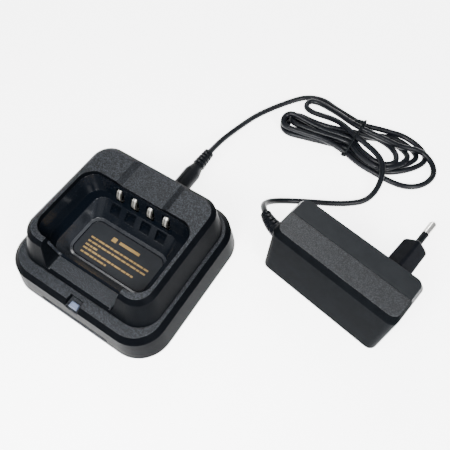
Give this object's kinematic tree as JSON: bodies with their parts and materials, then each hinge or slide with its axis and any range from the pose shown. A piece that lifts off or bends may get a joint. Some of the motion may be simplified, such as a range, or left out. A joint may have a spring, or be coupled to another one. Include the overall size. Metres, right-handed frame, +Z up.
{
  "type": "radio charging cradle",
  "caption": "Desktop cradle with a sprung-contact pocket for a two-way radio, fed by a tied cord from a two-pin wall adapter.",
  "frame": {"origin": "centre of the cradle's footprint on the desk", "axes": "+X to the right seen from the finger notch, +Y to the rear where the plug enters, +Z up"},
  "size_m": [0.1892, 0.2086, 0.0363],
  "materials": {
    "housing_plastic": "fine spark texture on the flats, satin walls",
    "liner_plastic": "gloss",
    "label_film": "frosted film with plain gold bars",
    "base_plastic": "satin",
    "foot_rubber": "matte",
    "screw_steel": "zinc plated",
    "board_laminate": "green solder mask",
    "carrier_plastic": "satin",
    "contact_nickel": "nickel plated",
    "light_pipe_plastic": "frosted clear",
    "led_resin": "clear resin",
    "capacitor_can": "sleeved can",
    "plug_plastic": "satin",
    "cord_plastic": "satin soft vinyl",
    "tie_plastic": "satin",
    "adapter_plastic": "fine texture",
    "adapter_cover_plastic": "satin",
    "nose_plastic": "satin",
    "heat_sink_metal": "mill finish"
  },
  "bodies": {
    "cradle": {"upper_housing": "housing_plastic", "pocket_liner": "liner_plastic", "instruction_label": "label_film", "base_plate": "base_plastic", "rubber_feet": "foot_rubber", "base_screws": "screw_steel", "board_screws": "screw_steel", "circuit_board": "board_laminate", "contact_block": "carrier_plastic", "contact_roots": "contact_nickel", "dc_jack": "carrier_plastic", "dc_jack_pin": "contact_nickel", "light_pipe": "light_pipe_plastic", "status_led": "led_resin", "charge_controller": "carrier_plastic", "power_inductor": "carrier_plastic", "smoothing_capacitors": "capacitor_can"},
    "contact_1": {"contact_leaf_1": "contact_nickel"},
    "contact_2": {"contact_leaf_2": "contact_nickel"},
    "contact_3": {"contact_leaf_3": "contact_nickel"},
    "contact_4": {"contact_leaf_4": "contact_nickel"},
    "power_supply": {"dc_plug_body": "plug_plastic", "dc_plug_barrel": "contact_nickel", "dc_plug_insulator": "carrier_plastic", "dc_plug_relief": "cord_plastic", "cord_plug_lead": "cord_plastic", "cord_adapter_lead": "cord_plastic", "hank_tie": "tie_plastic", "cord_hank": "cord_plastic", "adapter_case": "adapter_plastic", "adapter_cover": "adapter_cover_plastic", "plug_nose": "nose_plastic", "mains_pins": "contact_nickel", "pin_sleeves": "nose_plastic", "pin_springs": "contact_nickel", "adapter_board": "board_laminate", "adapter_transformer": "carrier_plastic", "adapter_capacitors": "capacitor_can", "adapter_heat_sink": "heat_sink_metal", "adapter_relief": "cord_plastic"}
  },
  "joints": [
    {"name": "contact_1_flex", "type": "hinge", "parent": "cradle", "child": "contact_1", "pos_m": [-0.0153, 0.02045, 0.0136], "axis": [-1, 0, 0], "range_deg": [0, 7], "stiffness_Nm_per_rad": 0.13},
    {"name": "contact_2_flex", "type": "hinge", "parent": "cradle", "child": "contact_2", "pos_m": [-0.0051, 0.02045, 0.0136], "axis": [-1, 0, 0], "range_deg": [0, 7], "stiffness_Nm_per_rad": 0.13},
    {"name": "contact_3_flex", "type": "hinge", "parent": "cradle", "child": "contact_3", "pos_m": [0.0051, 0.02045, 0.0136], "axis": [-1, 0, 0], "range_deg": [0, 7], "stiffness_Nm_per_rad": 0.13},
    {"name": "contact_4_flex", "type": "hinge", "parent": "cradle", "child": "contact_4", "pos_m": [0.0153, 0.02045, 0.0136], "axis": [-1, 0, 0], "range_deg": [0, 7], "stiffness_Nm_per_rad": 0.13},
    {"name": "dc_plug_pull", "type": "slide", "parent": "cradle", "child": "power_supply", "axis": [0, 1, 0], "range_m": [0, 0.0115]}
  ]
}
